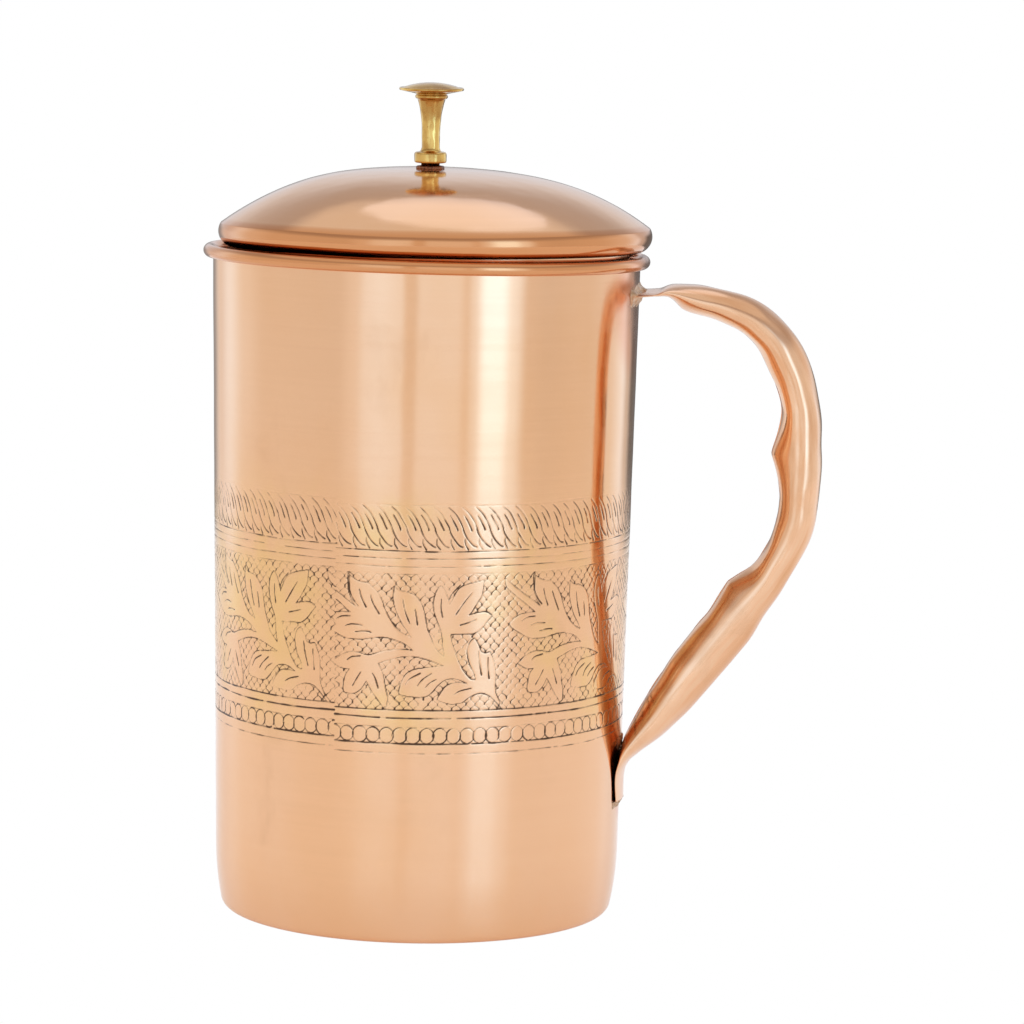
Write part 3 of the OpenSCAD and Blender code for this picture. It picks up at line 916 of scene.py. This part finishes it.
def handle(material):
    rows = np.array([(wall_r(z) + out, z, *rest) for out, z, *rest in HANDLE_KNOTS])
    rows = catmull(rows, HANDLE_STEPS)
    spine = rows[:, :2]
    along = np.gradient(spine, axis=0)
    along /= np.hypot(*along.T)[:, None]
    outward = np.column_stack([-along[:, 1], along[:, 0]])
    run = np.concatenate([[0], np.cumsum(np.hypot(*np.diff(spine, axis=0).T))])
    rise = np.zeros(len(rows))
    for out, z, high, reach in FINGER_RIDGES:
        far = np.hypot(spine[:, 0] - wall_r(z) - out, spine[:, 1] - z)
        far = np.sqrt(far**2 + RIDGE_SOFT**2) - RIDGE_SOFT
        rise += high * np.maximum(0, 1 - far / reach) ** RIDGE_POWER
    start = np.arcsin(HANDLE_SEAM / 2 / rows[:, 3])[:, None]
    angle = start + (math.tau - 2 * start) * np.linspace(0, 1, SECTION_POINTS + 1)
    cosine, sine = np.cos(angle), np.sin(angle)
    power = np.where(cosine > 0, FINGER_POWER, BACK_POWER)
    shape = np.sign(cosine) * np.abs(cosine) ** power
    dents = 0.13 * waves(run[:, None] + 0 * angle, angle * 7, 21, 12, 7, 26)
    dents = dents + 0.06 * waves(run[:, None] * 0.16 + 0 * angle, angle * 7, 22, 12, 6, 13)

    def surface(inset):
        deep, wide = rows[:, 2:3] - inset, rows[:, 3:4] - inset
        bulge = dents * smoothstep(0.8, 3, rows[:, 2:3]) * (deep > 0)
        n = -(deep + bulge) * shape - rise[:, None] * np.maximum(0, cosine) ** 3
        y = (wide + 0.5 * bulge) * sine
        radius = wall_r(spine[:, 1:2])
        follow = rows[:, 4:5] * (radius - np.sqrt(radius**2 - y**2))
        return np.stack([spine[:, :1] + outward[:, :1] * n - follow, y,
                         spine[:, 1:2] + outward[:, 1:] * n], axis=-1)

    around = 8 * np.concatenate([angle, angle[:, ::-1]], axis=1)
    sweep = np.stack([run[:, None] + 0 * around, around, 0 * around], axis=-1) * MM
    near_top = np.exp(-(run / 9.0) ** 2)
    near_foot = np.exp(-((run[-1] - run) / 13.0) ** 2)
    heat = (0.9 * near_top + 0.5 * near_foot)[:, None] + 0 * around
    piece = sheet_strip("jug_handle", surface(0), surface(HANDLE_SHEET), material,
                        [("sweep", "FLOAT_VECTOR", sweep), ("heat", "FLOAT", heat)])
    settle(piece, "jug", "handle")


# --- Braze ---

# Sections of the patches that hold the handle's ends: distance out from the wall, height
UPPER_BRAZE = [(0, 158), (0.3, 159.3), (1.0, 161), (1.6, 162.2), (1.0, 163.1), (0.4, 164.2),
               (0, 165.5)]
LOWER_BRAZE = [(0, 28.2), (0.6, 29.3), (0.7, 30.6), (0.12, 31.2), (0.12, 42), (0.5, 45.5),
               (0, 48)]


def braze(name, section, half_angle, material, node, seed):
    """Uneven patch of braze on the wall, whose thin edges run out under the wall's face."""
    across = np.radians(np.linspace(half_angle, -half_angle, 90))[:, None]
    out, z = catmull(section, 8).T
    fade = np.cos(across / across[0] * math.pi / 2) ** 0.4
    rough = 1 + 0.35 * waves(across * BAND_R, z, seed, 14, 1.2, 7)
    lift = np.maximum(out, 0) * fade * rough

    def surface(radius):
        return np.stack([radius * np.cos(across), radius * np.sin(across), z + 0 * radius], -1)

    piece = sheet_strip(name, surface(wall_r(z) - 0.2 + 1.2 * lift),
                        surface(wall_r(z) - 0.4 + 0 * lift), material)
    settle(piece, "jug", node)


# --- Lid ---

LID_POINTS = 360


def lid_slant(x, y):
    """How much the loose lid, which isn't quite level, is raised at a place."""
    return LID_LIFT + LID_LEAN * (x - LID_X) - LID_RISE * y / LID_OUT


def lid_ring(radius, z, angle):
    """The dome's ring at one section point. Its edge waves and slants, and its middle doesn't."""
    edge = smoothstep(LAND_R, EDGE_CENTRE, radius)
    shift = (LID_X - KNOB_X) * edge
    wave = 0.10 * np.sin(2 * angle + 0.4) + 0.06 * np.sin(5 * angle) + 0.04 * np.sin(11 * angle)
    x = KNOB_X + shift + (radius + wave * edge) * np.cos(angle)
    y = (radius + wave * edge) * np.sin(angle)
    sway = 0.03 * waves(x, y, 33, 10, 18, 60) + 0.008 * waves(x, y, 34, 12, 4, 9)
    return np.column_stack([x, y, z + (lid_slant(x, y) + 0.7 * wave) * edge + sway])


def edge_section(inset):
    """The lid's edge from the crease down its upright band and round the turned-under foot."""
    foot_z = EDGE_Z - EDGE_R + FOOT_R
    low, high = math.radians(EDGE_LOW), math.radians(EDGE_HIGH)
    band = np.array([LID_OUT - BAND_BOW_R, foot_z - (BAND_BOW_R - FOOT_R) * math.sin(low)])
    foot = np.array([band[0] + (BAND_BOW_R - FOOT_R) * math.cos(low), foot_z])
    corner = band + (BAND_BOW_R - CREASE_R) * np.array([math.cos(high), math.sin(high)])
    return np.vstack([
        arc(corner, CREASE_R - inset, EDGE_CREASE, EDGE_HIGH, 8),
        arc(band, BAND_BOW_R - inset, EDGE_HIGH, EDGE_LOW, 14)[1:],
        arc(foot, FOOT_R - inset, EDGE_LOW, -180, 16)[1:],
    ])


def dome_section(crease, step_count):
    """The dome's outer face from near its middle to the crease, and the face's slope."""
    radii = np.linspace(2, crease[0], step_count)[:-1]
    share = (crease[0] / DOME_CURVE_R) ** DOME_POWER
    rise = (DOME_TOP - crease[1]) / share
    z = DOME_TOP - rise * (radii / DOME_CURVE_R) ** DOME_POWER
    slope = rise * DOME_POWER / DOME_CURVE_R * (radii / DOME_CURVE_R) ** (DOME_POWER - 1)
    return np.column_stack([radii, z]), slope


def lid_dome(material):
    edge = edge_section(0)
    outer, slope = dome_section(edge[0], 60)
    normal = np.column_stack([slope, np.ones_like(slope)])
    normal /= np.hypot(*normal.T)[:, None]
    inner = outer - SHEET * normal
    section = np.vstack([inner, edge_section(SHEET), edge[::-1], outer[::-1]])
    crease = outer[-1, 0]
    # The edge band past the crease carries painted shade, the darker tint of the gap over the lip.
    deep = [np.full(LID_POINTS, smoothstep(crease - 0.6, crease + 0.3, r)) for r, z in section]
    loops = [lid_ring(r, z, full_turn(LID_POINTS)) for r, z in section]
    piece = swept_ring("lid_shell", loops, material, [("deep", "FLOAT", np.concatenate(deep))])
    settle(piece, "lid", "lid_dome")


def slanted_loop(radius, z, angle):
    """Ring of a piece under the lid, at the lid's slant."""
    x, y = LID_X + radius * np.cos(angle), radius * np.sin(angle)
    return np.column_stack([x, y, z + lid_slant(x, y)])


def lid_collar(material):
    low, high = box_mm("lid_collar")
    outer = (high[0] - low[0]) / 2
    thick = 0.7
    section = np.vstack([
        arc((outer - thick / 2, low[2] + thick / 2), thick / 2, -180, 0, 8),
        [(outer, z) for z in np.linspace(low[2] + 1, high[2], 8)],
        [(outer - thick, z) for z in np.linspace(high[2], low[2] + 1, 8)],
    ])
    angle = full_turn(LID_POINTS)
    uneven_r = 0.05 * np.sin(3 * angle + 1)
    loops = [slanted_loop(r + uneven_r, z, angle) for r, z in section]
    settle(swept_ring("lid_collar_ring", loops, material), "lid", "lid_collar")


def collar_solder(material):
    """Uneven bead of solder in the corner between the collar and the lid's edge."""
    low, high = box_mm("collar_solder")
    outer = (high[0] - low[0]) / 2
    wide, bead_r, bead_out = 1.1, 0.55, 0.4
    inner = outer - wide
    angle = full_turn(LID_POINTS)
    swell = 1 + 0.12 * waves(angle * inner, angle * 0, 35, 12, 2, 9)
    loops = []
    for r, z in arc((inner + bead_out, (low[2] + high[2]) / 2), bead_r, 0, 360, 12)[:-1]:
        loops.append(slanted_loop(np.minimum(inner + (r - inner) * swell, outer), z, angle))
    settle(swept_ring("lid_solder_bead", loops, material), "lid", "collar_solder")


# --- Knob ---

def knob(material):
    spigot_r, spigot_h = 2.4, 0.8
    foot_r, foot_h = 4.15, 2.8
    cap_t, ring_h, rim_r = 3.0, 1.2, 0.4
    stem_z = KNOB_Z + spigot_h + foot_h
    neck_z = KNOB_TOP - cap_t - ring_h
    stem_h = neck_z - stem_z
    rim_z = KNOB_TOP - 0.55 * cap_t
    t = np.linspace(0, 1, 26)
    stem = np.column_stack([2.3 + 1.3 * t**3.5, stem_z + stem_h * t])
    crown_r = ((CAP_R - rim_r) ** 2 + (cap_t / 2) ** 2) / cap_t
    crown_turn = math.degrees(math.asin((CAP_R - rim_r) / crown_r))
    section = np.vstack([
        [(1.2, KNOB_Z), (spigot_r, KNOB_Z), (spigot_r, KNOB_Z + spigot_h)],
        arc((foot_r - 0.5, KNOB_Z + spigot_h + 0.5), 0.5, -90, 0, 6),
        arc((foot_r - 0.7, stem_z - 0.7), 0.7, 0, 90, 6),
        [(2.9, stem_z), (2.5, stem_z + 0.4)],
        stem[2:],
        arc((3.6, neck_z + 0.6), 0.6, -80, 80, 8),
        [(4.6, rim_z - 1.1), (6.2, rim_z - 0.75)],
        arc((CAP_R - rim_r, rim_z), rim_r, -75, 60, 10),
        arc((0, KNOB_TOP - crown_r), crown_r, 90 - crown_turn, 89, 22)[1:],
    ])
    count = 144
    angle = full_turn(count)
    rings = [(0, KNOB_Z)]
    for r, z in section:
        out = 0.03 * waves(angle * 4, np.full(count, z), 51, 10, 1.5, 8) * min(1, r / 2)
        rings.append((r + out, np.full(count, z)))
    rings.append((0, KNOB_TOP))
    piece = lathe("lid_knob", rings, material, (KNOB_X, 0))
    settle(piece, "lid", "knob")


def knob_washer(material):
    """Hand-cut washer with a ragged edge."""
    low, high = box_mm("knob_washer")
    count = 120
    angle = full_turn(count)
    outer = (high[0] - low[0]) / 2
    ragged = outer + 0.16 * waves(angle * 4, angle * 0, 61, 8, 1.0, 5)
    hole = np.full(count, 1.7)
    bottom, top = low[2] - 0.15, high[2]
    section = [(hole, bottom), (ragged - 0.1, bottom), (ragged + 0.05, bottom + 0.3),
               (ragged - 0.02, top - 0.12), (ragged - 0.22, top), (hole, top), (hole, bottom)]
    rings = [(radius, np.full(count, z)) for radius, z in section]
    piece = lathe("lid_washer", rings, material, (KNOB_X, 0))
    settle(piece, "lid", "knob_washer")


def use_material(node, material):
    """Give a CAD node that stays in view a better material."""
    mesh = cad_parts[node].data
    mesh.materials.clear()
    mesh.materials.append(material)


# --- Studio ---

CAMERA_TURN = math.radians(6)   # from straight in front towards the handle's side
CAMERA_DISTANCE = 1.33606
CAMERA_RISE = math.radians(7.867)
CAMERA_ROLL = math.radians(1.038)
CAMERA_LENS = 180.9
TARGET = Vector((0, 0, 0.1))
AIM_RIGHT, AIM_UP = 0.0233, 0.00348


def camera():
    turned = Matrix.Rotation(CAMERA_TURN, 3, "Z")
    forward = turned @ Vector((0, math.cos(CAMERA_RISE), -math.sin(CAMERA_RISE)))
    up = turned @ Vector((0, math.sin(CAMERA_RISE), math.cos(CAMERA_RISE)))
    level = turned @ Vector((1, 0, 0))
    right = level * math.cos(CAMERA_ROLL) + up * math.sin(CAMERA_ROLL)
    above = up * math.cos(CAMERA_ROLL) - level * math.sin(CAMERA_ROLL)
    place = TARGET - forward * CAMERA_DISTANCE
    back = (place - TARGET - right * AIM_RIGHT - above * AIM_UP).normalized()
    side = (right - back * right.dot(back)).normalized()
    top = back.cross(side)
    data = bpy.data.cameras.new("camera")
    data.lens = CAMERA_LENS
    data.sensor_width = 36
    data.clip_start, data.clip_end = 0.01, 50
    seen = bpy.data.objects.new("camera", data)
    seen.matrix_world = Matrix((
        (side.x, top.x, back.x, place.x),
        (side.y, top.y, back.y, place.y),
        (side.z, top.z, back.z, place.z),
        (0, 0, 0, 1)))
    bpy.context.scene.collection.objects.link(seen)
    bpy.context.scene.camera = seen


# Brightness of the studio round the jug: degrees from the camera towards the handle's side
STUDIO_TURN = [
    (-180, 0.22), (-165, 0.36), (-149, 0.88), (-131, 1.27), (-114, 1.00), (-95, 0.86),
    (-48, 0.83), (-38, 0.98), (-31, 1.24), (-24, 1.31), (-13, 1.22), (-10, 0.88), (-6, 0.87),
    (-3, 1.14), (17, 1.14), (22, 0.95), (26, 1.22), (33, 2.05), (41, 2.05), (48, 1.45),
    (57, 0.84), (68, 0.80), (95, 0.85), (120, 1.0), (136, 1.3), (145, 0.7), (155, 0.18),
    (180, 0.18),
]
STUDIO_WALL = 0.9               # brightness of the white walls; what is brighter is a lamp
STUDIO_PEAK = 3.0
BACKDROP = rgb(0.76, 0.80, 0.87)
CEILING = rgb(0.52, 0.5044, 0.52)
ZENITH = rgb(0.80, 0.80, 0.80)
# Where each fades in, as the Y or Z of the direction looked in
BACKDROP_SIDES, BACKDROP_FOOT = (0.6, 0.95), (-0.03, 0.09)
CEILING_EDGE, ZENITH_EDGE = (0.24, 0.58), (0.64, 0.77)
LAMP_PLACE, LAMP_AIM = (0.03, 0.80, 1.3), (0.03, 0.80, 0.15)
LAMP_SIZE, LAMP_WATTS = (0.76, 0.92), 0.62
LAMP_COLOUR = (0.76, 1.0, 1.5)


def lamp_colour(level):
    """The walls are neutral. The lamps are cooler, so the brighter a strip is, the bluer."""
    extra = max(0.0, level - STUDIO_WALL)
    return (level - 0.6 * extra, level, level + 0.8 * extra)


def studio_world():
    """A white room with soft strips of light. The camera itself sees it plain white."""
    world = bpy.data.worlds.new("studio")
    world.use_nodes = True
    w = Nodes(world.node_tree)
    w.tree.nodes.clear()
    direction = w.node("ShaderNodeVectorRotate", {
        "Vector": w.node("ShaderNodeTexCoord", output="Generated"),
        "Angle": -CAMERA_TURN}, rotation_type="Z_AXIS")
    x, y, z = (w.axis(direction, name) for name in "XYZ")
    turn = w.math("ARCTAN2", x, w.math("MULTIPLY", y, -1.0))
    share = w.node("ShaderNodeMapRange", {"Value": turn, "From Min": -math.pi,
                                          "From Max": math.pi})
    strips = w.node("ShaderNodeValToRGB", {0: share})
    ramp = strips.node.color_ramp
    ramp.interpolation = "EASE"
    stops = [((a + 180) / 360, [c / STUDIO_PEAK for c in lamp_colour(level)] + [1])
             for a, level in STUDIO_TURN]
    ramp.elements[0].position, ramp.elements[0].color = stops[0]
    ramp.elements[1].position, ramp.elements[1].color = stops[-1]
    for where, colour in stops[1:-1]:
        ramp.elements.new(where).color = colour
    room = w.node("ShaderNodeVectorMath", {0: strips, "Scale": STUDIO_PEAK}, operation="SCALE")
    far_side = w.math("MULTIPLY", w.span(y, *BACKDROP_SIDES), w.span(z, *BACKDROP_FOOT))
    room = w.blend(far_side, room, BACKDROP)
    room = w.blend(w.span(z, *CEILING_EDGE), room, CEILING)
    room = w.blend(w.span(z, *ZENITH_EDGE), room, ZENITH)
    camera_ray = w.node("ShaderNodeLightPath", output="Is Camera Ray")
    room = w.blend(camera_ray, room, rgb(1, 1, 1))
    background = w.node("ShaderNodeBackground", {"Color": room, "Strength": 1.0})
    w.put(w.tree.nodes.new("ShaderNodeOutputWorld").inputs["Surface"], background)
    bpy.context.scene.world = world


def softbox(name, place, aim, size, power, colour):
    """Oval lamp of the given width and depth."""
    data = bpy.data.lights.new(name, "AREA")
    data.shape = "ELLIPSE"
    data.color = colour
    data.size, data.size_y = size
    data.energy = power
    lamp = bpy.data.objects.new(name, data)
    lamp.location = place
    lamp.rotation_euler = (Vector(aim) - Vector(place)).to_track_quat("-Z", "Y").to_euler()
    bpy.context.scene.collection.objects.link(lamp)


def studio_floor():
    """A pale round table top, which the camera sees as plain white like the surround."""
    s = Shader("floor_pale")
    grain = s.noise(s.scaled(s.place(), (40, 40, 40)), detail=3)
    s.set(Base_Color=s.blend(grain, rgb(0.93, 0.93, 0.93), rgb(0.95, 0.95, 0.95)),
          Roughness=0.3, Emission_Color=rgb(1, 1, 1), Emission_Strength=0.25)
    plain = s.node("ShaderNodeEmission", {"Color": rgb(1, 1, 1), "Strength": 1.0})
    camera_ray = s.node("ShaderNodeLightPath", output="Is Camera Ray")
    seen = s.node("ShaderNodeMixShader", {0: camera_ray, 1: s.surface.outputs[0], 2: plain})
    s.put(s.tree.nodes["Material Output"].inputs["Surface"], seen)
    count, radius, drop = 96, 700, 0.1
    angle = full_turn(count)
    ring = np.column_stack([radius * np.cos(angle), radius * np.sin(angle),
                            np.full(count, -drop)])
    floor = build("floor", ring, [np.arange(count)[None]], s.material)


def studio():
    camera()
    studio_world()
    studio_floor()
    softbox("overhead", LAMP_PLACE, LAMP_AIM, LAMP_SIZE, LAMP_WATTS, LAMP_COLOUR)
    bpy.context.scene.view_settings.view_transform = "Standard"


# --- Assembly ---

def assemble():
    jug_body(engraved_copper())
    sheet = handle_copper()
    metal = braze_metal()
    handle(sheet)
    braze("upper_braze_fillet", UPPER_BRAZE, 13, metal, "upper_braze", 71)
    braze("lower_braze_fillet", LOWER_BRAZE, 11, metal, "lower_braze", 72)
    lid_copper = turned_copper("copper_lid", LID_X, -1.0, (0.08, 0.12), 0.6).material
    rim_wire(lid_copper)
    lid_dome(lid_copper)
    lid_collar(lid_copper)
    collar_solder(metal)
    knob(turned_brass())
    knob_washer(shaded_dirty_washer())
    steel = plain_steel()
    use_material("knob_screw", steel)
    use_material("screw_washer", steel)


assemble()
studio()
